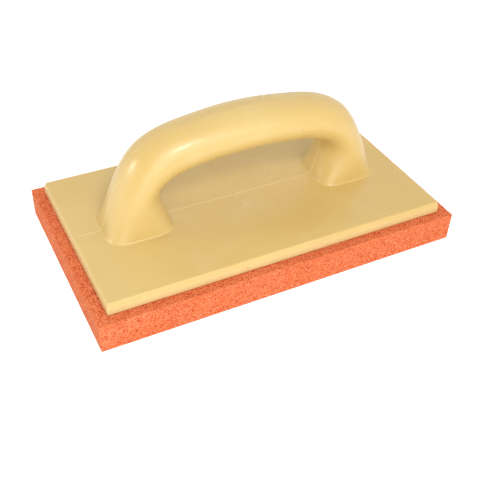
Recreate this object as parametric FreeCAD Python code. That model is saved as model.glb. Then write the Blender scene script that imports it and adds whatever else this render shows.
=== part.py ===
"""Sponge float for smoothing fresh render and concrete, in millimetres.

A rigid moulded body (a blade plate and a loop handle in one casting) carries a sponge rubber pad,
which is bonded to it by a film of contact adhesive.
Origin at the centre of the pad's working face, +X along the handle, +Z up.
"""
import FreeCAD, Part
import math
import os

from FreeCAD import Vector

# Sponge rubber pad, cut from sheet
PAD_LENGTH = 250.0
PAD_WIDTH = 144.0
PAD_THICKNESS = 20.0

# Contact adhesive between pad and plate
GLUE_THICKNESS = 0.3
GLUE_MARGIN = 0.8

# Plate of the moulded body: an upright lower edge, then a tapered upper edge with a rounded rim
PLATE_LENGTH = 235.0
PLATE_WIDTH = 131.0
PLATE_THICKNESS = 8.2
PLATE_UPRIGHT_EDGE = 5.0
PLATE_EDGE_TAPER = 1.2
PLATE_CORNER_RADIUS = 1.2
PLATE_RIM_RADIUS = 0.6
PLATE_BOTTOM = PAD_THICKNESS + GLUE_THICKNESS
PLATE_TOP = PLATE_BOTTOM + PLATE_THICKNESS

# Loop handle: side profiles of its right half, as (distance from the centre, height above the plate)
HANDLE_OUTER = [(98.8, 0.0), (94.5, 11.9), (91.0, 22.2), (84.5, 36.5), (73.4, 51.9),
                (55.8, 61.3), (38.8, 64.9), (20.6, 67.2), (0.0, 68.3)]
HANDLE_INNER = [(53.8, 0.0), (59.1, 17.5), (59.3, 25.7), (55.5, 31.1), (48.2, 33.9),
                (40.8, 35.5), (31.6, 36.8), (16.6, 38.3), (0.0, 38.8)]
HANDLE_SECTIONS = 41
SECTION_POINTS = 14
FOOT_HALF_WIDTH = 20.2
FOOT_FLARE_HEIGHT = 24.0
SHOULDER_HALF_WIDTH = 18.0
GRIP_HALF_WIDTH = 18.7
GRIP_SWELL_POWER = 4
FOOT_SQUARENESS = 4.4
GRIP_SQUARENESS = 2.0
SQUARENESS_FADE_HEIGHT = 6.0
FOOT_FILLET_RADIUS = 1.2

# Mould parting line: a fine raised seam on the plate and all round the handle
SEAM_WIDTH = 0.6
SEAM_HEIGHT = 0.3
SEAM_PLATE_MARGIN = 3.5
SEAM_POINTS_PER_SPAN = 2

TOLERANCE = 0.01
UP = Vector(0, 0, 1)


def rounded_rectangle(length, width, radius, height):
    """Closed wire of a rectangle with rounded corners, centred on the Z axis."""
    edges = []
    for quarter in range(4):
        reach, side = (length / 2, width / 2) if quarter % 2 == 0 else (width / 2, length / 2)
        turn = FreeCAD.Rotation(UP, 90 * quarter)
        diagonal = radius * math.sqrt(0.5)
        start = turn.multVec(Vector(reach, radius - side, height))
        end = turn.multVec(Vector(reach, side - radius, height))
        middle = turn.multVec(Vector(reach - radius + diagonal, side - radius + diagonal, height))
        next_start = turn.multVec(Vector(reach - radius, side, height))
        edges.append(Part.makeLine(start, end))
        edges.append(Part.Arc(end, middle, next_start).toShape())
    return Part.Wire(edges)


def slab(length, width, radius, bottom, thickness):
    """Flat plate with rounded upright corners."""
    face = Part.Face(rounded_rectangle(length, width, radius, bottom))
    return face.extrude(Vector(0, 0, thickness))


def sponge_pad():
    return Part.makeBox(
        PAD_LENGTH, PAD_WIDTH, PAD_THICKNESS, Vector(-PAD_LENGTH / 2, -PAD_WIDTH / 2, 0)
    )


def adhesive_film():
    length = PLATE_LENGTH - 2 * GLUE_MARGIN
    width = PLATE_WIDTH - 2 * GLUE_MARGIN
    return slab(length, width, PLATE_CORNER_RADIUS, PAD_THICKNESS, GLUE_THICKNESS)


def plate():
    """The blade plate, with its tapered and rounded top edge."""
    lower = slab(PLATE_LENGTH, PLATE_WIDTH, PLATE_CORNER_RADIUS, PLATE_BOTTOM, PLATE_UPRIGHT_EDGE)
    step = PLATE_BOTTOM + PLATE_UPRIGHT_EDGE
    outlines = []
    for inset, height in ((0.0, step), (PLATE_EDGE_TAPER, PLATE_TOP)):
        outlines.append(rounded_rectangle(
            PLATE_LENGTH - 2 * inset, PLATE_WIDTH - 2 * inset, PLATE_CORNER_RADIUS, height))
    upper = Part.makeLoft(outlines, True, True)
    rim = [edge for edge in upper.Edges if edge.BoundBox.ZMin > PLATE_TOP - TOLERANCE]
    return lower.fuse(upper.makeFillet(PLATE_RIM_RADIUS, rim))


def side_profile(half_points):
    """Curve through a profile's right half and its mirror image, with one parameter step a point."""
    right = [Vector(x, 0, PLATE_TOP + height) for x, height in half_points]
    left = [Vector(-point.x, 0, point.z) for point in reversed(right[:-1])]
    points = right + left
    curve = Part.BSplineCurve()
    curve.interpolate(Points=points, Parameters=[float(index) for index in range(len(points))])
    return curve


def half_width(height, progress):
    """Half of the handle's width across Y: widest at the feet, narrowest at the shoulders."""
    foot_share = math.exp(-((height / FOOT_FLARE_HEIGHT) ** 2))
    grip_share = math.sin(math.pi * progress) ** GRIP_SWELL_POWER
    width = SHOULDER_HALF_WIDTH
    width += (FOOT_HALF_WIDTH - SHOULDER_HALF_WIDTH) * foot_share
    width += (GRIP_HALF_WIDTH - SHOULDER_HALF_WIDTH) * grip_share
    return width


def squareness(height):
    """Exponent of the section's superellipse: nearly a rounded rectangle at the feet, then oval."""
    fade = math.exp(-height / SQUARENESS_FADE_HEIGHT)
    return GRIP_SQUARENESS + (FOOT_SQUARENESS - GRIP_SQUARENESS) * fade


def oval_half(centre, reach, half_across, power):
    """Half of a section's outline, from its outer point over the +Y side (or -Y) to its inner point."""
    points = []
    for index in range(SECTION_POINTS + 1):
        angle = math.pi * index / SECTION_POINTS
        cosine = math.cos(angle)
        sine = math.sin(angle)
        radius = (abs(cosine) ** power + abs(sine) ** power) ** (-1.0 / power)
        points.append(centre + reach * (radius * cosine) + Vector(0, half_across * radius * sine, 0))
    curve = Part.BSplineCurve()
    curve.interpolate(Points=points)
    return curve.toShape()


def handle_section(outer, inner, half_across, power):
    """Closed oval wire between an outer and an inner profile point."""
    centre = (outer + inner) * 0.5
    reach = (outer - inner) * 0.5
    far_half = oval_half(centre, reach, half_across, power)
    near_half = oval_half(centre, reach, -half_across, power)
    return Part.Wire([far_half, near_half])


def handle():
    """The loop handle, lofted from foot to foot, standing on the plate's top."""
    outer = side_profile(HANDLE_OUTER)
    inner = side_profile(HANDLE_INNER)
    span = 2 * (len(HANDLE_OUTER) - 1)
    sections = []
    for index in range(HANDLE_SECTIONS):
        progress = index / (HANDLE_SECTIONS - 1)
        outer_point = outer.value(span * progress)
        inner_point = inner.value(span * progress)
        height = max(0.0, (outer_point.z + inner_point.z) / 2 - PLATE_TOP)
        half_across = half_width(height, progress)
        sections.append(handle_section(outer_point, inner_point, half_across, squareness(height)))
    return Part.makeLoft(sections, True, False)


def parting_seam():
    """Thin raised seam in the XZ plane: along the plate's top and round both sides of the handle."""
    edges = []
    for half_points, offset in ((HANDLE_OUTER, SEAM_HEIGHT), (HANDLE_INNER, -SEAM_HEIGHT)):
        curve = side_profile(half_points)
        count = 2 * (len(half_points) - 1) * SEAM_POINTS_PER_SPAN
        points = []
        for index in range(count + 1):
            parameter = curve.LastParameter * index / count
            tangent = curve.tangent(parameter)[0]
            outward = Vector(tangent.z, 0, -tangent.x)
            points.append(curve.value(parameter) + outward * offset)
        offset_curve = Part.BSplineCurve()
        offset_curve.interpolate(Points=points)
        edges.append(offset_curve.toShape())
    outer_edge, inner_edge = edges
    foot_lines = [
        Part.makeLine(outer_edge.Vertexes[0].Point, inner_edge.Vertexes[0].Point),
        Part.makeLine(outer_edge.Vertexes[-1].Point, inner_edge.Vertexes[-1].Point),
    ]
    loop = Part.Face(Part.Wire(Part.__sortEdges__(edges + foot_lines)))
    loop.translate(Vector(0, -SEAM_WIDTH / 2, 0))
    around_handle = loop.extrude(Vector(0, SEAM_WIDTH, 0))
    length = PLATE_LENGTH - 2 * SEAM_PLATE_MARGIN
    on_plate = Part.makeBox(
        length, SEAM_WIDTH, 2 * SEAM_HEIGHT, Vector(-length / 2, -SEAM_WIDTH / 2, PLATE_TOP - SEAM_HEIGHT)
    )
    return around_handle.fuse(on_plate)


def at_foot(edge):
    """True for an edge of the joint between a foot and the plate's top."""
    box = edge.BoundBox
    flat = abs(box.ZMin - PLATE_TOP) < TOLERANCE and abs(box.ZMax - PLATE_TOP) < TOLERANCE
    return flat and box.YMax < PLATE_WIDTH / 4 and box.YMin > -PLATE_WIDTH / 4


def float_body():
    """Plate and handle as one moulding, with a fillet at each foot and the parting seam."""
    moulding = plate().fuse(handle()).removeSplitter()
    foot_edges = [edge for edge in moulding.Edges if at_foot(edge)]
    filleted = moulding.makeFillet(FOOT_FILLET_RADIUS, foot_edges)
    return filleted.fuse(parting_seam()).removeSplitter()


NODES = {
    "float_body": float_body,
    "adhesive_film": adhesive_film,
    "sponge_pad": sponge_pad,
}

os.makedirs("parts", exist_ok=True)
for node, build in NODES.items():
    shape = build()
    if not shape.isValid() or len(shape.Solids) != 1:
        raise ValueError(f"{node} is not one valid solid")
    box = shape.BoundBox
    size = f"{box.XLength:.1f} x {box.YLength:.1f} x {box.ZLength:.1f} mm"
    print(f"{node}: {size}, {shape.Volume / 1000:.1f} cc")
    shape.exportStep(f"parts/{node}.step")
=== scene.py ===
import math

import bpy
import numpy as np
from mathutils import Matrix, Vector
from mathutils.bvhtree import BVHTree


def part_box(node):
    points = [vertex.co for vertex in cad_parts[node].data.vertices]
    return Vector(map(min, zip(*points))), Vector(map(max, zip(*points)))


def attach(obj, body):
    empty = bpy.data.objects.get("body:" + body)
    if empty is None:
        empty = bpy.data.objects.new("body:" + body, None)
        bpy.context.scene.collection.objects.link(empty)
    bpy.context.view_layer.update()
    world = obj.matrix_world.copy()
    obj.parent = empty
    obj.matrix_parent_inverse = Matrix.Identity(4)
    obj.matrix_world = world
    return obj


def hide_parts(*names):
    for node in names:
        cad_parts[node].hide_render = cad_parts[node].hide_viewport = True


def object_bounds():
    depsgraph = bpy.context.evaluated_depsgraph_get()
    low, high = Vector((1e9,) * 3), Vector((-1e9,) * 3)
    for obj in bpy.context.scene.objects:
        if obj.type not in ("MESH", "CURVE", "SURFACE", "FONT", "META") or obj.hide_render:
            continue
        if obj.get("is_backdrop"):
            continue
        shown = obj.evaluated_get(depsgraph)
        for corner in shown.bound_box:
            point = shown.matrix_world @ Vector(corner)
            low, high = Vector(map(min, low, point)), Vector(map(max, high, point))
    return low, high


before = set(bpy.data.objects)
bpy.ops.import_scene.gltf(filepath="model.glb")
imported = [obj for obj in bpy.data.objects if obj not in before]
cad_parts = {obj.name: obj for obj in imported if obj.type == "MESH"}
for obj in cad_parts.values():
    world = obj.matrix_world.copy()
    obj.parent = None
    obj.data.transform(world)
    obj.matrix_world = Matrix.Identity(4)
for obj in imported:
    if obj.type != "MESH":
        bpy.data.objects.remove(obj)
cad_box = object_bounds()

MM = 0.001


# ---------------------------------------------------------------- node helpers

def new_material(name):
    """An empty node material with its Principled shader linked to the output."""
    material = bpy.data.materials.new(name)
    material.use_nodes = True
    tree = material.node_tree
    tree.nodes.clear()
    output = tree.nodes.new("ShaderNodeOutputMaterial")
    shader = tree.nodes.new("ShaderNodeBsdfPrincipled")
    tree.links.new(shader.outputs["BSDF"], output.inputs["Surface"])
    return material, tree, shader


def plug(tree, value, socket):
    """Links a node's output to a socket, or sets the socket's plain value."""
    if isinstance(value, bpy.types.NodeSocket):
        tree.links.new(value, socket)
    elif hasattr(socket.default_value, "__len__") and hasattr(value, "__len__"):
        size = len(socket.default_value)
        socket.default_value = tuple(value) + (1.0,) * (size - len(value))
    else:
        socket.default_value = value


def noise(tree, scale_per_metre, detail=3.0, roughness=0.5, distortion=0.0, offset=(0, 0, 0)):
    """Fractal noise in object space, from 0 to 1."""
    place = tree.nodes.new("ShaderNodeTexCoord")
    shift = tree.nodes.new("ShaderNodeMapping")
    shift.inputs["Location"].default_value = offset
    tree.links.new(place.outputs["Object"], shift.inputs["Vector"])
    node = tree.nodes.new("ShaderNodeTexNoise")
    node.inputs["Scale"].default_value = scale_per_metre
    node.inputs["Detail"].default_value = detail
    node.inputs["Roughness"].default_value = roughness
    node.inputs["Distortion"].default_value = distortion
    tree.links.new(shift.outputs["Vector"], node.inputs["Vector"])
    return node.outputs["Fac"]


def cell_distance(tree, cells_per_metre):
    """Distance to the nearest of many scattered points, in cell sizes."""
    place = tree.nodes.new("ShaderNodeTexCoord")
    node = tree.nodes.new("ShaderNodeTexVoronoi")
    node.inputs["Scale"].default_value = cells_per_metre
    tree.links.new(place.outputs["Object"], node.inputs["Vector"])
    return node.outputs["Distance"]


def remap(tree, value, low, high, to_low=0.0, to_high=1.0):
    """Maps low..high to to_low..to_high, clamped."""
    node = tree.nodes.new("ShaderNodeMapRange")
    plug(tree, value, node.inputs["Value"])
    node.inputs["From Min"].default_value = low
    node.inputs["From Max"].default_value = high
    node.inputs["To Min"].default_value = to_low
    node.inputs["To Max"].default_value = to_high
    return node.outputs["Result"]


def maths(tree, operation, first, second):
    """One arithmetic step on two values."""
    node = tree.nodes.new("ShaderNodeMath")
    node.operation = operation
    plug(tree, first, node.inputs[0])
    plug(tree, second, node.inputs[1])
    return node.outputs["Value"]


def mix_colour(tree, share, first, second):
    """The first colour, turning into the second as the share goes from 0 to 1."""
    node = tree.nodes.new("ShaderNodeMix")
    node.data_type = "RGBA"
    plug(tree, share, node.inputs[0])
    plug(tree, first, node.inputs[6])
    plug(tree, second, node.inputs[7])
    return node.outputs[2]


def bump(tree, height, distance):
    """A surface normal tilted by a height pattern of the given depth in metres."""
    node = tree.nodes.new("ShaderNodeBump")
    node.inputs["Distance"].default_value = distance
    tree.links.new(height, node.inputs["Height"])
    return node.outputs["Normal"]


def attribute(tree, name):
    """A value stored on the mesh's points."""
    node = tree.nodes.new("ShaderNodeAttribute")
    node.attribute_name = name
    return node.outputs["Fac"]


# ---------------------------------------------------------------- materials

# A pattern's RANGE holds the noise values at which it begins and is full.

# Moulded body
STAINS_PER_METRE = 14.0          # wide, faint changes of colour
STAIN_RANGE = (0.35, 0.7)
SMEARS_PER_METRE = 30.0          # whitish smears of old cement
SMEAR_RANGE = (0.56, 0.72)
SMEAR_SHARE = 0.12
SMEAR_PLACE = (0.3, 0.1, 0.2)    # shift of the smears' noise, in metres
# painted highlight: how far the raised seam's colour turns lighter, for the light its ridge catches
SEAM_PAINTED_HIGHLIGHT = 0.85
WALL_PAINTED_LIGHT = 0.18             # painted light: the plate's upright edge below the step is made lighter, for the brighter light it catches
FLECKS_PER_METRE = 800.0         # where the seam was pared off
FLECK_RANGE = (0.5, 0.62)
FLECK_SHARE = 0.7
SHEEN_PER_METRE = 50.0
SHEEN_RANGE = (0.3, 0.7)
SKIN_SMOOTHEST = 0.27            # roughness
SKIN_ROUGHEST = 0.33
PARED_ROUGHNESS = 0.25           # added to the skin's
SKIN_IOR = 1.53

# Sponge rubber
TINTS_PER_METRE = 25.0
TINT_RANGE = (0.35, 0.65)
GLINTS_PER_METRE = 1300.0        # painted glints: lighter dots standing for tiny highlights on the cell walls
GLINT_RANGE = (0.56, 0.68)
GLINT_SHARE = 0.55
FINE_PORES_PER_METRE = 900.0
FINE_PORE_RANGE = (0.22, 0.44)   # cell distances at which a fine pore is full and ends
# painted shade: how far a fine pore's colour turns to the red of the shade inside it
FINE_PORE_SHADE_SHARE = 0.9
PORE_SHADE_RANGE = (0.04, 0.42)        # painted shade: shares of the deepest pore at which the painted red shade begins and is full
GRAINS_PER_METRE = 2600.0
SPONGE_GRAIN_DEPTH = 0.15 * MM
SPONGE_ROUGHNESS = 0.8
SPONGE_SHINE = 0.25

# Contact adhesive
BRUSH_MARKS_PER_METRE = 160.0
BRUSH_MARK_RANGE = (0.35, 0.65)
GLUE_SMOOTHEST = 0.25            # roughness where the glue is thick
GLUE_ROUGHEST = 0.5              # and where it is thin
GLUE_RELIEF = 0.1 * MM


def moulded_foam_material():
    """Cream-yellow rigid polyurethane: a satin skin, a painted highlight along the seam, painted light on
    the plate's upright wall, and flecks where the seam is pared off.
    """
    material, tree, shader = new_material("moulded_body")
    skin = (0.59, 0.42, 0.150)
    stained = (0.565, 0.385, 0.125)
    smeared = (0.66, 0.56, 0.38)
    # painted light: the lighter colour of the seam's painted highlight and of the upright wall's painted
    # light
    painted_light = (0.88, 0.78, 0.52)
    flecked = (0.46, 0.33, 0.15)
    pared = attribute(tree, "pared")

    stains = remap(tree, noise(tree, STAINS_PER_METRE, detail=2.0), *STAIN_RANGE)
    smears = remap(tree, noise(tree, SMEARS_PER_METRE, offset=SMEAR_PLACE), *SMEAR_RANGE)
    # painted highlight along the seam
    seam = maths(tree, "MULTIPLY", attribute(tree, "seam"), SEAM_PAINTED_HIGHLIGHT)
    # painted light on the upright wall below the step
    edge = maths(tree, "MULTIPLY", attribute(tree, "painted_wall_light"), WALL_PAINTED_LIGHT)
    flecks = remap(tree, noise(tree, FLECKS_PER_METRE, detail=2.0), *FLECK_RANGE)
    flecks = maths(tree, "MULTIPLY", flecks, pared)
    colour = mix_colour(tree, stains, skin, stained)
    colour = mix_colour(tree, maths(tree, "MULTIPLY", smears, SMEAR_SHARE), colour, smeared)
    colour = mix_colour(tree, maths(tree, "MAXIMUM", seam, edge), colour, painted_light)
    colour = mix_colour(tree, maths(tree, "MULTIPLY", flecks, FLECK_SHARE), colour, flecked)
    plug(tree, colour, shader.inputs["Base Color"])

    satin = remap(tree, noise(tree, SHEEN_PER_METRE), *SHEEN_RANGE, SKIN_SMOOTHEST, SKIN_ROUGHEST)
    rough = maths(tree, "ADD", satin, maths(tree, "MULTIPLY", pared, PARED_ROUGHNESS))
    plug(tree, rough, shader.inputs["Roughness"])
    shader.inputs["IOR"].default_value = SKIN_IOR
    return material


def sponge_material():
    """Orange cellular rubber: even cell walls, painted glints on them, and painted red shade in the pores.
    """
    material, tree, shader = new_material("sponge_rubber")
    wall = (0.675, 0.185, 0.066)
    duller_wall = (0.65, 0.165, 0.054)
    painted_glint = (0.84, 0.36, 0.19)
    # painted shade: the red of shaded pore hollows
    pore_shade_red = (0.50, 0.028, 0.003)

    tint = remap(tree, noise(tree, TINTS_PER_METRE), *TINT_RANGE)
    glints = remap(tree, noise(tree, GLINTS_PER_METRE, detail=1.0), *GLINT_RANGE)
    # fine pores: shallow dips in the bump, and painted shade in the colour
    fine_pores_and_shade = remap(tree, cell_distance(tree, FINE_PORES_PER_METRE), *FINE_PORE_RANGE, 1.0, 0.0)
    pores = remap(tree, attribute(tree, "pore_depth"), *PORE_SHADE_RANGE)
    # painted shade in the pores, darkest where they sink furthest
    painted_pore_shade = maths(tree, "MAXIMUM", pores, maths(tree, "MULTIPLY", fine_pores_and_shade, FINE_PORE_SHADE_SHARE))
    colour = mix_colour(tree, tint, wall, duller_wall)
    # painted glints: tiny highlights mixed into the colour
    colour = mix_colour(tree, maths(tree, "MULTIPLY", glints, GLINT_SHARE), colour, painted_glint)
    plug(tree, mix_colour(tree, painted_pore_shade, colour, pore_shade_red), shader.inputs["Base Color"])

    grain = maths(tree, "SUBTRACT", noise(tree, GRAINS_PER_METRE), fine_pores_and_shade)
    plug(tree, bump(tree, grain, SPONGE_GRAIN_DEPTH), shader.inputs["Normal"])
    shader.inputs["Roughness"].default_value = SPONGE_ROUGHNESS
    shader.inputs["Specular IOR Level"].default_value = SPONGE_SHINE
    return material


def adhesive_material():
    """Dried contact adhesive, amber and uneven."""
    material, tree, shader = new_material("contact_adhesive")
    thick = (0.34, 0.15, 0.035)
    thin = (0.48, 0.25, 0.07)
    thinness = remap(tree, noise(tree, BRUSH_MARKS_PER_METRE, detail=4.0), *BRUSH_MARK_RANGE)
    plug(tree, mix_colour(tree, thinness, thick, thin), shader.inputs["Base Color"])
    rough = remap(tree, thinness, 0.0, 1.0, GLUE_SMOOTHEST, GLUE_ROUGHEST)
    plug(tree, rough, shader.inputs["Roughness"])
    plug(tree, bump(tree, noise(tree, 3 * BRUSH_MARKS_PER_METRE), GLUE_RELIEF), shader.inputs["Normal"])
    return material


# ---------------------------------------------------------------- closed shells built from rings

class Shell:
    """Collects the points and faces of one closed mesh. A ring is a list of point numbers."""

    def __init__(self):
        self.points = []
        self.faces = []

    def ring(self, places):
        first = len(self.points)
        self.points.extend(tuple(float(value) for value in place) for place in places)
        return list(range(first, len(self.points)))

    def strip(self, outer, inner):
        """Faces between two closed rings that run anticlockwise, seen from the side that shows.
        Where two neighbours are the same point, the face is a triangle."""
        for here in range(len(outer)):
            ahead = (here + 1) % len(outer)
            corners = dict.fromkeys((outer[here], outer[ahead], inner[ahead], inner[here]))
            if len(corners) > 2:
                self.faces.append(list(corners))

    def piece(self, name, material):
        mesh = bpy.data.meshes.new(name)
        mesh.from_pydata(self.points, [], self.faces)
        mesh.materials.append(material)
        mesh.polygons.foreach_set("use_smooth", [True] * len(mesh.polygons))
        shown = bpy.data.objects.new(name, mesh)
        bpy.context.scene.collection.objects.link(shown)
        return shown


def ripples(points, shortest, longest, count, seed):
    """Seeded sum of plane waves at the given points, about -1 to 1. Wavelengths lie in the given range."""
    rng = np.random.default_rng(seed)
    total = np.zeros(len(points))
    for _ in range(count):
        way = rng.normal(size=3)
        wavelength = shortest * (longest / shortest) ** rng.random()
        way *= 2 * math.pi / wavelength / np.linalg.norm(way)
        total += np.sin(points @ way + rng.random() * 2 * math.pi)
    return total / math.sqrt(2 * count)


# ---------------------------------------------------------------- moulded body

BODY_STEP = 1.1 * MM             # spacing of the body's surface lattice
EDGE_STRIP = 3.0 * MM            # outer strip of the plate's top, where the rim's own rows begin
CORNER_FAN = (20, 32, 39, 45, 51, 58, 70)         # extra headings round each plate corner, in degrees
RIM_FAN = (85, 71, 60, 50, 40, 30, 10)            # elevations of the rays that find the rounded rim
RIM_PIVOT = (0.8 * MM, 1.2 * MM)                  # their start: out from the lattice, down from the top
STEP_SEARCH = 0.1 * MM           # how finely the step in the plate's edge is looked for
STEP_ROWS = (1.2 * MM, 0.15 * MM, -0.15 * MM)     # rows close above and below that step
WALL_ROWS = 4                    # rows down the upright wall below it
UNDERCUT = 0.25 * MM             # softening of the plate's bottom edge
SKIM = 0.02 * MM                 # a ray this far above the plate's top meets a foot's fillet
BARE_PLATE = 0.8                 # share of the half width where nothing stands on the plate
FOOT_MARGIN = 3.0 * MM           # from a foot's fillet to the edge of its patch in the lattice
FILLET_ROWS = (0.12 * MM, 0.35 * MM, 0.65 * MM, 1.0 * MM, 1.4 * MM)   # heights up a foot's fillet
LEG_ROWS = 16
APRON = 0.55 * MM                # from the lowest fillet row out to the flat plate
APRON_ROWS = (0.3, 0.6, 0.85, 1.0)                # shares of the way from the lattice to the apron
PIVOT_X = 25.0 * MM              # the handle's sections fan round points this far from the middle
PIVOT_HEIGHT = 20.0 * MM         # and this high above the plate
FAN_STEPS = 60
FACET_BLENDS = 8                 # smoothing passes over the CAD mesh's facets
SEAM_HALF_WIDTH = 0.35 * MM
SEAM_CLEAR = 1.0 * MM            # the CAD seam lies well within this distance of the middle plane
SEAM_HEIGHT = 0.3 * MM
SEAM_LEFT_END = 113.5 * MM       # the seam on the plate stops this far to the left of the middle
SEAM_RIGHT_END = 100.5 * MM      # and this far to the right, where it is worn flat beyond the foot
WAVINESS = 0.05 * MM             # slow unevenness of the moulded skin
WAVINESS_WAVES = (18 * MM, 70 * MM, 24)           # shortest and longest wavelength, and how many waves
TRIM_CENTRE_X = -12.0 * MM       # where the seam was pared off the grip's top
TRIM_HALF_LENGTH = 36.0 * MM
TRIM_HALF_WIDTH = 4.0 * MM
TRIM_LOWEST_NORMAL = 0.5         # only skin that faces up at least this steeply was pared
TRIM_ROUGHNESS = 0.10 * MM
TRIM_WAVES = (1.8 * MM, 5 * MM, 24)
SEAM_WEAR = 0.25                 # how much the seam's height varies
SEAM_WEAR_WAVES = (5 * MM, 30 * MM, 12)
SEAM_LOWEST = 0.3                # share of its height that is left on the plate
GRIP_WEAR = 0.6                  # share of its height that hands have worn off the grip
GRIP_WEAR_HEIGHT = 35.0 * MM     # above the plate, where that wear is full


def surface_probe(node):
    """A function that finds the first point of a CAD node's surface along a ray."""
    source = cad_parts[node].data
    corners = [vertex.co.copy() for vertex in source.vertices]
    tree = BVHTree.FromPolygons(corners, [tuple(face.vertices) for face in source.polygons])

    def probe(origin, direction):
        hit = tree.ray_cast(Vector(origin), Vector(direction))[0]
        if hit is None:
            raise ValueError(f"a ray missed {node}")
        return np.array(hit)

    return probe


def lattice_lines(marks):
    """Symmetric lattice coordinates that meet every mark, about BODY_STEP apart."""
    half = [0.0]
    for mark in marks:
        count = max(1, round((mark - half[-1]) / BODY_STEP))
        half += list(np.linspace(half[-1], mark, count + 1)[1:])
    return np.array([-value for value in reversed(half[1:])] + half)


def add_plate_top(shell, xs, ys, top, foot_inner, foot_outer, foot_side):
    """The plate's flat top as a lattice with a rectangular gap for each foot.
    Returns the point numbers by lattice place, and the gap's border at the +X foot, anticlockwise."""
    first_i, end_i = (int(np.argmin(abs(xs - value))) for value in (foot_inner, foot_outer))
    end_j = int(np.argmin(abs(ys - foot_side)))
    last_i = len(xs) - 1
    last_j = len(ys) - 1
    start_j = last_j - end_j
    gap = [(end_i, j) for j in range(last_j // 2, end_j)]
    gap += [(i, end_j) for i in range(end_i, first_i, -1)]
    gap += [(first_i, j) for j in range(end_j, start_j, -1)]
    gap += [(i, start_j) for i in range(first_i, end_i)]
    gap += [(end_i, j) for j in range(start_j, last_j // 2)]

    grid = {}
    for i, j in np.ndindex(last_i + 1, last_j + 1):
        if not (first_i < max(i, last_i - i) < end_i and start_j < j < end_j):
            grid[i, j] = len(shell.points)
            shell.points.append((xs[i], ys[j], top))
    for i, j in np.ndindex(last_i, last_j):
        if not (first_i <= max(i, last_i - 1 - i) < end_i and start_j <= j < end_j):
            shell.faces.append([grid[i, j], grid[i + 1, j], grid[i + 1, j + 1], grid[i, j + 1]])
    return grid, gap


def plate_border(last_i, last_j):
    """The lattice's border, anticlockwise from above: each point's place and its outward heading."""
    sides = [
        [(last_i, j) for j in range(last_j + 1)],
        [(i, last_j) for i in range(last_i, -1, -1)],
        [(0, j) for j in range(last_j, -1, -1)],
        [(i, 0) for i in range(last_i + 1)],
    ]
    border = []
    for number, side in enumerate(sides):
        border += [(place, math.radians(90 * number)) for place in side]
        border += [(side[-1], math.radians(90 * number + turn)) for turn in CORNER_FAN]
    return border


def edge_step(probe, top, half_length):
    """Height of the step in the plate's edge, where the taper ends and the upright wall begins."""
    step = top
    while probe((0, EDGE_STRIP, step), (1, 0, 0))[0] < half_length - SKIM:
        step -= STEP_SEARCH
    return step


def edge_rays(top, step, bottom):
    """Rays that find the plate's edge, top to bottom: (reach past the lattice, height, elevation)."""
    reach, drop = RIM_PIVOT
    rays = [(reach, top - drop, math.radians(elevation)) for elevation in RIM_FAN]
    near_step = [step + height for height in STEP_ROWS]
    wall = np.linspace(step - STEP_ROWS[0], bottom + UNDERCUT, WALL_ROWS)
    return rays + [(0.0, height, 0.0) for height in (*near_step, *wall)]


def add_plate_edge(shell, probe, grid, xs, ys, rays, bottom):
    """The plate's rim, sides and underside, outside the lattice."""
    border = plate_border(len(xs) - 1, len(ys) - 1)
    headings = [np.array([math.cos(heading), math.sin(heading), 0.0]) for _, heading in border]
    starts = [np.array([xs[i], ys[j], 0.0]) for (i, j), _ in border]
    inner = [grid[place] for place, _ in border]
    for reach, height, elevation in rays:
        rise = np.array([0.0, 0.0, math.sin(elevation)])
        places = []
        for start, heading in zip(starts, headings):
            origin = start + heading * reach + np.array([0.0, 0.0, height])
            places.append(probe(origin, heading * math.cos(elevation) + rise))
        outer = shell.ring(places)
        shell.strip(outer, inner)
        inner = outer
    places = [place - heading * UNDERCUT for place, heading in zip(places, headings)]
    underside = shell.ring([(x, y, bottom) for x, y, _ in places])
    shell.strip(underside, inner)
    shell.faces.append(underside[::-1])


def handle_sections(top):
    """Starts and angles, in the XZ plane, of the handle's sections from the +X foot over to the -X foot."""
    heights = list(FILLET_ROWS)
    heights += list(np.linspace(heights[-1], PIVOT_HEIGHT, LEG_ROWS + 1)[1:-1])
    half = [(PIVOT_X, top + height, 0.0) for height in heights]
    half += [(PIVOT_X, top + PIVOT_HEIGHT, angle) for angle in np.linspace(0, math.pi / 2, FAN_STEPS + 1)]
    across = np.linspace(PIVOT_X, 0, round(PIVOT_X / BODY_STEP) + 1)[1:]
    half += [(x, top + PIVOT_HEIGHT, math.pi / 2) for x in across]
    return half + [(-x, z, math.pi - angle) for x, z, angle in reversed(half[:-1])]


def handle_grid(probe, top, columns):
    """Points of the handle's surface, as [section, column]. A column is a share of reach and half width."""
    sections = []
    for x, z, angle in handle_sections(top):
        out = np.array([math.cos(angle), 0.0, math.sin(angle)])
        inner = probe((x, SEAM_CLEAR, z), out)
        outer = probe(inner + out * MM, out)
        centre = (inner + outer) / 2 * (1, 0, 1)
        reach = out * np.linalg.norm(outer - centre)
        side = np.array([0.0, probe(centre, (0, 1, 0))[1], 0.0])
        ways = [reach * share_out + side * share_y for share_out, share_y in columns]
        sections.append([probe(centre, way) for way in ways])
    return np.array(sections)


def clear_seam(points, middle):
    """Replaces the three columns on the CAD seam by a straight run between the columns beside it."""
    count = points.shape[1]
    before = points[:, (middle - 2) % count]
    after = points[:, (middle + 2) % count]
    lean = (after - before) / 2 * (SEAM_HALF_WIDTH / SEAM_CLEAR)
    points[:, middle] = (before + after) / 2
    points[:, (middle - 1) % count] = points[:, middle] - lean
    points[:, (middle + 1) % count] = points[:, middle] + lean


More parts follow.
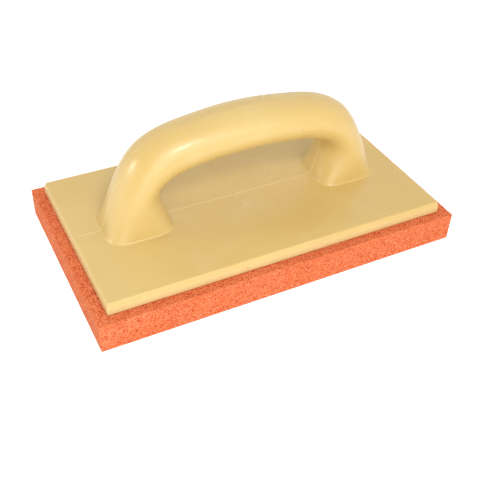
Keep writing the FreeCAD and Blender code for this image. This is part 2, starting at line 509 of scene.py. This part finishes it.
def smooth_handle(points):
    """Blends the CAD mesh's facets away above the fillets."""
    fixed = len(FILLET_ROWS)
    middles = (0, points.shape[1] // 2)
    for middle in middles:
        clear_seam(points, middle)
    for _ in range(FACET_BLENDS):
        beside = (np.roll(points, 1, axis=1) + np.roll(points, -1, axis=1))[fixed:-fixed]
        along = points[fixed - 1 : -fixed - 1] + points[fixed + 1 : len(points) - fixed + 1]
        points[fixed:-fixed] = points[fixed:-fixed] / 2 + (beside + along) / 8
    for middle in middles:
        clear_seam(points, middle)


def add_foot(shell, grid, gap, foot_row, top):
    """Rings from a gap in the lattice in to an apron round the foot's lowest row."""
    border = np.array([shell.points[grid[place]] for place in gap])
    away = border - foot_row
    away[:, 2] = 0.0
    away /= np.linalg.norm(away, axis=1)[:, None]
    apron = foot_row + away * APRON
    apron[:, 2] = top
    rings = [[grid[place] for place in gap]]
    for share in APRON_ROWS:
        rings.append(shell.ring(border + (apron - border) * share))
    return rings


def make_float_body():
    """The moulding as one finely meshed skin read from the CAD body, with its seam and slight unevenness."""
    probe = surface_probe("float_body")
    low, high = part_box("float_body")
    half_length, half_width, bottom = high[0], high[1], low[2]
    top = probe((0, half_width * BARE_PLATE, high[2]), (0, 0, -1))[2]
    skim = top + SKIM
    beside_seam = 2 * SEAM_CLEAR
    foot_inner = probe((0, beside_seam, skim), (1, 0, 0))[0] - FOOT_MARGIN
    foot_outer = probe((half_length, beside_seam, skim), (-1, 0, 0))[0] + FOOT_MARGIN
    foot_middle = (foot_inner + foot_outer) / 2
    foot_side = probe((foot_middle, half_width, skim), (0, -1, 0))[1] + FOOT_MARGIN
    xs = lattice_lines([foot_inner, foot_outer, half_length - EDGE_STRIP])
    ys = lattice_lines([SEAM_HALF_WIDTH, SEAM_CLEAR, foot_side, half_width - EDGE_STRIP])

    shell = Shell()
    grid, gap = add_plate_top(shell, xs, ys, top, foot_inner, foot_outer, foot_side)
    step = edge_step(probe, top, half_length)
    add_plate_edge(shell, probe, grid, xs, ys, edge_rays(top, step, bottom), bottom)
    half_gap = (foot_outer - foot_inner) / 2
    columns = [((xs[i] - foot_middle) / half_gap, ys[j] / foot_side) for i, j in gap]
    skin = handle_grid(probe, top, columns)
    smooth_handle(skin)
    far_gap = [(len(xs) - 1 - i, j) for i, j in gap]
    rings = add_foot(shell, grid, gap, skin[0], top)
    rings += [shell.ring(section) for section in skin]
    rings += add_foot(shell, grid, far_gap, skin[-1], top)[::-1]
    for lower, upper in zip(rings, rings[1:]):
        shell.strip(lower, upper)

    body = shell.piece("float_body_moulding", moulded_foam_material())
    seam = np.zeros(len(shell.points), dtype=bool)
    seam[[ring[column] for ring in rings for column in (0, len(gap) // 2)]] = True
    seam[[grid[i, len(ys) // 2] for i in range(len(xs)) if (i, len(ys) // 2) in grid]] = True
    finish_skin(body, seam, top, step, bottom)
    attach(body, "root")
    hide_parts("float_body")


def finish_skin(body, seam, top, step, bottom):
    """Raises the seam, then makes the skin slightly uneven, and rough where the seam was pared off."""
    mesh = body.data
    count = len(mesh.vertices)
    points = np.empty(3 * count)
    normals = np.empty(3 * count)
    mesh.vertices.foreach_get("co", points)
    mesh.vertices.foreach_get("normal", normals)
    points = points.reshape(-1, 3)
    normals = normals.reshape(-1, 3)

    along = np.maximum(0, 1 - ((points[:, 0] - TRIM_CENTRE_X) / TRIM_HALF_LENGTH) ** 2)
    across = np.maximum(0, 1 - (points[:, 1] / TRIM_HALF_WIDTH) ** 2)
    on_grip_top = (normals[:, 2] > TRIM_LOWEST_NORMAL) & (points[:, 2] > top + PIVOT_HEIGHT)
    pared = np.sqrt(along * across) * on_grip_top
    worn = 1 - SEAM_WEAR + SEAM_WEAR * ripples(points, *SEAM_WEAR_WAVES, seed=3)
    within = (points[:, 0] > -SEAM_LEFT_END) & (points[:, 0] < SEAM_RIGHT_END)
    raised = seam * within * np.clip(worn, SEAM_LOWEST, 1.0)
    raised *= 1 - np.minimum(pared * 2, 1)
    raised *= 1 - GRIP_WEAR * np.clip((points[:, 2] - top) / GRIP_WEAR_HEIGHT, 0, 1)
    lift = raised * SEAM_HEIGHT
    lift += WAVINESS * ripples(points, *WAVINESS_WAVES, seed=5)
    lift += TRIM_ROUGHNESS * pared * ripples(points, *TRIM_WAVES, seed=9)
    lift *= np.clip((points[:, 2] - bottom) / MM, 0, 1)
    mesh.vertices.foreach_set("co", (points + normals * lift[:, None]).ravel())
    # points of the upright wall below the step, where light is painted into the colour
    painted_wall_light = points[:, 2] < step
    for name, values in (("seam", raised), ("pared", pared), ("painted_wall_light", painted_wall_light)):
        stored = mesh.attributes.new(name, "FLOAT", "POINT")
        stored.data.foreach_set("value", values.astype(np.float32))
    mesh.update()


# ---------------------------------------------------------------- adhesive film

GLUE_STEP = 1.5 * MM             # spacing of points round the film's edge
GLUE_WANDER = 0.6 * MM           # how far the brushed edge wanders in from its outline
GLUE_WAVES = (4 * MM, 30 * MM, 16)
GLUE_ROUNDING = 0.08 * MM


def rectangle_ring(half_length, half_width, step):
    """Points round a rectangle, anticlockwise from above."""
    corners = np.array([(1, -1), (1, 1), (-1, 1), (-1, -1)]) * (half_length, half_width)
    sides = []
    for start, end in zip(corners, np.roll(corners, -1, axis=0)):
        count = round(np.linalg.norm(end - start) / step)
        sides.append(start + (end - start) * np.arange(count)[:, None] / count)
    return np.concatenate(sides)


def make_adhesive_film():
    """The glue layer, with the wavy edge of a brushed coat that was pressed flat."""
    low, high = (np.array(corner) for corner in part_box("adhesive_film"))
    outline = rectangle_ring(high[0], high[1], GLUE_STEP)
    wander = ripples(np.column_stack([outline, outline[:, 0]]), *GLUE_WAVES, seed=17)
    inset = GLUE_WANDER * np.clip(0.5 + 0.5 * wander, 0, 1)
    shell = Shell()
    rings = []
    middle = (low[2] + high[2]) / 2
    for height, rounding in ((low[2], GLUE_ROUNDING), (middle, 0.0), (high[2], GLUE_ROUNDING)):
        places = outline * (1 - (inset + rounding)[:, None] / high[:2])
        rings.append(shell.ring([(x, y, height) for x, y in places]))
    shell.strip(rings[0], rings[1])
    shell.strip(rings[1], rings[2])
    shell.faces.append(rings[0][::-1])
    shell.faces.append(rings[2])
    film = shell.piece("adhesive_film_pressed", adhesive_material())
    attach(film, "root")
    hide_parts("adhesive_film")


# ---------------------------------------------------------------- sponge pad

CELL = 0.40 * MM                 # spacing of the pad's surface lattice
BUBBLE_SPACING = 0.76 * MM       # one gas bubble in each cube of this size
BUBBLE_SMALLEST = 0.24 * MM      # bubble radii
BUBBLE_LARGEST = 0.42 * MM
PORE_DEEPEST = 0.9 * MM
BUBBLE_SIZE_BIAS = 1.3           # above 1, small bubbles are commoner than large ones
EDGE_PORE_SHARE = 0.3            # pores at the pad's edges keep this share of their depth
EDGE_PORE_FADE = 2.0 * MM
HIDDEN_MARGIN = 2.0 * MM         # how far the pad's covered, plain area stays inside the plate's edge
POINT_WANDER = 0.5               # seeded shift of the lattice's points, as a share of a cell


def lattice_counts(low, high):
    """Even numbers of lattice steps along X, Y and Z."""
    return [2 * round((high[axis] - low[axis]) / CELL / 2) for axis in range(3)]


def quads(corner, along, across, skip=None):
    """Lattice quads of one rectangular stretch, as rows of four lattice points."""
    first, last = np.meshgrid(np.arange(along[1]), np.arange(across[1]), indexing="ij")
    first = first.ravel()
    last = last.ravel()
    if skip is not None:
        keep = ~skip(first, last)
        first = first[keep]
        last = last[keep]
    step_a = np.array(along[0])
    step_b = np.array(across[0])
    start = np.array(corner) + first[:, None] * step_a + last[:, None] * step_b
    return np.stack([start, start + step_a, start + step_a + step_b, start + step_b], 1)


def border(low_i, high_i, low_j, high_j, level, step=1):
    """Lattice points round a rectangle in the plane k = level, anticlockwise from above."""
    points = [(i, low_j, level) for i in range(low_i, high_i, step)]
    points += [(high_i, j, level) for j in range(low_j, high_j, step)]
    points += [(i, high_j, level) for i in range(high_i, low_i, -step)]
    points += [(low_i, j, level) for j in range(high_j, low_j, -step)]
    return points


def bottom_edge_cells(nx, ny):
    """Double-size cells along the bottom's border: each keeps the side wall's midpoints as extra corners."""
    cells = []
    for i in range(0, nx, 2):
        for j in range(0, ny, 2):
            if 0 < i < nx - 2 and 0 < j < ny - 2:
                continue
            ring = []
            for point in border(i, i + 2, j, j + 2, 0):
                corner = point[0] % 2 == 0 and point[1] % 2 == 0
                if corner or point[0] in (0, nx) or point[1] in (0, ny):
                    ring.append(point)
            cells.append(ring[::-1])
    return cells


def pore_depths(points, inward, low, high, seed=7):
    """How far each surface point sinks along its inward direction into the cut bubbles."""
    rng = np.random.default_rng(seed)
    counts = np.ceil((high - low) / BUBBLE_SPACING).astype(int) + 2
    centres = rng.random((*counts, 3))
    sizes = rng.random(tuple(counts)) ** BUBBLE_SIZE_BIAS
    radii = BUBBLE_SMALLEST + (BUBBLE_LARGEST - BUBBLE_SMALLEST) * sizes
    home = np.floor((points - low) / BUBBLE_SPACING).astype(int) + 1
    depth = np.zeros(len(points))
    for offset in np.ndindex(3, 3, 3):
        cell = np.clip(home + np.array(offset) - 1, 0, counts - 1)
        index = (cell[:, 0], cell[:, 1], cell[:, 2])
        centre = low + (cell - 1 + centres[index]) * BUBBLE_SPACING
        towards = centre - points
        along = (towards * inward).sum(1)
        room = radii[index] ** 2 - (towards ** 2).sum(1) + along ** 2
        reach = np.sqrt(np.maximum(room, 0))
        cut_open = (room > 0) & (along - reach < 0) & (along + reach > 0)
        depth = np.where(cut_open, np.maximum(depth, along + reach), depth)
    return np.minimum(depth, PORE_DEEPEST)


def plain_area(low, high, step):
    """Lattice range (low i, high i, low j, high j) of the pad's top that the plate covers."""
    plate_low, plate_high = (np.array(corner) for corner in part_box("float_body"))
    first = np.ceil((plate_low + HIDDEN_MARGIN - low) / step).astype(int)
    last = np.floor((plate_high - HIDDEN_MARGIN - low) / step).astype(int)
    return first[0], last[0], first[1], last[1]


def pad_faces(counts, plain):
    """The pad's faces as lattice points: an array of quads, and a list of faces with more corners."""
    nx, ny, nz = counts
    x, y, z = (1, 0, 0), (0, 1, 0), (0, 0, 1)

    def covered(i, j):
        return (i >= plain[0]) & (i < plain[1]) & (j >= plain[2]) & (j < plain[3])

    sides = [
        quads((0, 0, 0), (x, nx), (z, nz)),
        quads((0, ny, 0), (z, nz), (x, nx)),
        quads((0, 0, 0), (z, nz), (y, ny)),
        quads((nx, 0, 0), (y, ny), (z, nz)),
    ]
    top = quads((0, 0, nz), (x, nx), (y, ny), skip=covered)
    bottom = quads((2, 2, 0), ((0, 2, 0), ny // 2 - 2), ((2, 0, 0), nx // 2 - 2))
    return np.concatenate([*sides, top, bottom]), bottom_edge_cells(nx, ny) + [border(*plain, nz)]


def lattice_outward(lattice, counts):
    """The outward direction at each lattice point on the pad's surface."""
    outward = np.zeros(lattice.shape)
    for axis, last in enumerate(counts):
        outward[:, axis] = (lattice[:, axis] == last).astype(float) - (lattice[:, axis] == 0)
    return outward / np.linalg.norm(outward, axis=1)[:, None]


def sink_pores(lattice, counts, plain, low, high):
    """Surface points of the pad with its pores sunk in, and each point's depth."""
    step = (high - low) / np.array(counts)
    points = low + lattice * step
    outward = lattice_outward(lattice, counts)
    depth = pore_depths(points, -outward, low, high)
    in_x = (lattice[:, 0] >= plain[0]) & (lattice[:, 0] < plain[1])
    in_y = (lattice[:, 1] >= plain[2]) & (lattice[:, 1] < plain[3])
    depth[in_x & in_y & (lattice[:, 2] == counts[2])] = 0.0
    to_edge = np.sort(np.minimum(points - low, high - points), axis=1)[:, 1]
    depth *= np.clip(EDGE_PORE_SHARE + to_edge / EDGE_PORE_FADE, 0.0, 1.0)
    rng = np.random.default_rng(11)
    wander = (rng.random(points.shape) - 0.5) * POINT_WANDER * step
    wander[outward != 0] = 0.0
    return points - outward * depth[:, None] + wander, depth


def make_sponge_pad():
    """The pad as a closed mesh whose visible faces are cut through round gas bubbles."""
    low, high = (np.array(corner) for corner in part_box("sponge_pad"))
    counts = lattice_counts(low, high)
    plain = plain_area(low, high, (high - low) / np.array(counts))
    squares, loose = pad_faces(counts, plain)
    corners = np.concatenate([squares.reshape(-1, 3)] + [np.array(ring) for ring in loose])
    keys = (corners[:, 0] * (counts[1] + 1) + corners[:, 1]) * (counts[2] + 1) + corners[:, 2]
    _, first_seen, index = np.unique(keys, return_index=True, return_inverse=True)
    points, depth = sink_pores(corners[first_seen], counts, plain, low, high)

    place = 4 * len(squares)
    faces = index[:place].reshape(-1, 4).tolist()
    for ring in loose:
        faces.append(index[place : place + len(ring)].tolist())
        place += len(ring)
    mesh = bpy.data.meshes.new("sponge_pad_cut")
    mesh.from_pydata(points.tolist(), [], faces)
    pore_depth = mesh.attributes.new("pore_depth", "FLOAT", "POINT")
    pore_depth.data.foreach_set("value", (depth / PORE_DEEPEST).astype(np.float32))
    mesh.materials.append(sponge_material())
    mesh.polygons.foreach_set("use_smooth", [True] * len(mesh.polygons))
    pad = bpy.data.objects.new("sponge_pad_cellular", mesh)
    bpy.context.scene.collection.objects.link(pad)
    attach(pad, "root")
    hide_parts("sponge_pad")


# ---------------------------------------------------------------- stage, lights, camera

WORLD_NEAR = 0.36                # strength of the studio air on the near left
WORLD_FAR = 0.97                 # and on the far right
WORLD_HEADING = math.radians(35)                  # of the bright side, from the far side towards +X
WORLD_SPREAD = 0.7               # cosines to that heading between which the air brightens
FLOOR_HALF = 4.0
FLOOR_DROP = 0.2 * MM            # keeps the floor clear of the pad's face
FLOOR_ROUGHNESS = 0.9
FLOOR_GLOW = 0.05                # light that the floor adds to the scene
FLOOR_GLOW_SEEN = 0.3            # the same as the camera sees it, which thins the shadow
AIM_HEIGHT = 40.0 * MM           # the lights aim at this height over the middle of the float

# Name, azimuth from the near side towards +X and elevation in degrees,
# distance, width and height in metres, and power in watts
SOFTBOXES = [
    ("front_low", -24.0, 8.0, 1.5, 1.1, 0.7, 5.7),
    ("front_main", -22.0, 34.0, 1.5, 0.8, 0.8, 4.6),
    ("front_right", 8.0, 28.0, 1.5, 1.2, 0.8, 6.0),
    ("front_high", -20.0, 58.0, 1.5, 0.7, 0.7, 4.0),
    ("key", -3.0, 50.0, 1.2, 0.18, 0.18, 3.2),
    ("left_low", -106.0, 10.0, 1.5, 1.1, 0.8, 2.6),
    ("left_lamp", -109.0, 21.0, 1.0, 0.20, 0.18, 1.8),
]

CAMERA_AZIMUTH = math.radians(-28.01)
CAMERA_ELEVATION = math.radians(39.78)
CAMERA_ROLL = math.radians(2.185)
CAMERA_PLACE = (-0.19656, -0.37185, 0.33814)
CAMERA_SENSOR = 36.0             # mm wide
CAMERA_LENS = 57.78              # mm
CAMERA_NEAREST = 10.0 * MM       # nothing closer is drawn
CAMERA_SHIFT = (-0.00104, -0.00375)


def camera_sees(tree, otherwise, seen):
    """One value for the camera's own rays and another for all other light."""
    path = tree.nodes.new("ShaderNodeLightPath")
    return remap(tree, path.outputs["Is Camera Ray"], 0.0, 1.0, otherwise, seen)


def make_floor():
    """A sheet of matt white paper."""
    half = FLOOR_HALF
    mesh = bpy.data.meshes.new("floor")
    corners = [(-half, -half, 0), (half, -half, 0), (half, half, 0), (-half, half, 0)]
    mesh.from_pydata(corners, [], [(0, 1, 2, 3)])
    floor = bpy.data.objects.new("floor", mesh)
    bpy.context.scene.collection.objects.link(floor)
    floor.location.z = -FLOOR_DROP
    material, tree, shader = new_material("floor_paper")
    shader.inputs["Base Color"].default_value = (1.0, 1.0, 1.0, 1.0)
    shader.inputs["Roughness"].default_value = FLOOR_ROUGHNESS
    shader.inputs["Specular IOR Level"].default_value = 0.0
    shader.inputs["Emission Color"].default_value = (1.0, 1.0, 1.0, 1.0)
    plug(tree, camera_sees(tree, FLOOR_GLOW, FLOOR_GLOW_SEEN), shader.inputs["Emission Strength"])
    mesh.materials.append(material)
    floor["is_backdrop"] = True


def make_world():
    """White studio air, brightest at the far right and dimmest at the near left."""
    world = bpy.data.worlds.new("studio")
    world.use_nodes = True
    tree = world.node_tree
    background = tree.nodes["Background"]
    background.inputs["Color"].default_value = (1.0, 1.0, 1.0, 1.0)
    direction = tree.nodes.new("ShaderNodeTexCoord")
    facing = tree.nodes.new("ShaderNodeVectorMath")
    facing.operation = "DOT_PRODUCT"
    tree.links.new(direction.outputs["Generated"], facing.inputs[0])
    facing.inputs[1].default_value = (math.sin(WORLD_HEADING), math.cos(WORLD_HEADING), 0.0)
    strength = remap(tree, facing.outputs["Value"], -WORLD_SPREAD, WORLD_SPREAD, WORLD_NEAR, WORLD_FAR)
    seen = maths(tree, "ADD", strength, camera_sees(tree, 0.0, 1.0))
    plug(tree, seen, background.inputs["Strength"])
    bpy.context.scene.world = world


def make_softbox(name, azimuth, elevation, distance, width, height, watts):
    """A rectangular area light aimed at the float."""
    turn = math.radians(azimuth)
    rise = math.radians(elevation)
    away = Vector((math.sin(turn) * math.cos(rise), -math.cos(turn) * math.cos(rise), math.sin(rise)))
    lamp = bpy.data.lights.new(name, "AREA")
    lamp.shape = "RECTANGLE"
    lamp.size = width
    lamp.size_y = height
    lamp.energy = watts
    holder = bpy.data.objects.new(name, lamp)
    bpy.context.scene.collection.objects.link(holder)
    holder.location = Vector((0, 0, AIM_HEIGHT)) + away * distance
    holder.rotation_euler = away.to_track_quat("Z", "Y").to_euler()


def make_camera():
    """The camera, placed so that the float's straight edges lie as in the product picture."""
    lens = bpy.data.cameras.new("camera")
    lens.sensor_width = CAMERA_SENSOR
    lens.lens = CAMERA_LENS
    lens.shift_x, lens.shift_y = CAMERA_SHIFT
    lens.clip_start = CAMERA_NEAREST
    camera = bpy.data.objects.new("camera", lens)
    bpy.context.scene.collection.objects.link(camera)
    turn = Matrix.Rotation(CAMERA_AZIMUTH, 4, "Z")
    tilt = Matrix.Rotation(math.pi / 2 - CAMERA_ELEVATION, 4, "X")
    roll = Matrix.Rotation(CAMERA_ROLL, 4, "Z")
    camera.matrix_world = Matrix.Translation(CAMERA_PLACE) @ turn @ tilt @ roll
    bpy.context.scene.camera = camera


# ---------------------------------------------------------------- build

make_float_body()
make_sponge_pad()
make_adhesive_film()
make_floor()
make_world()
for softbox in SOFTBOXES:
    make_softbox(*softbox)
make_camera()
bpy.context.scene.view_settings.view_transform = "Standard"

boxes = {"cad": cad_box, "visual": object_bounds()}
{name: [list(corner) for corner in box] for name, box in boxes.items()}
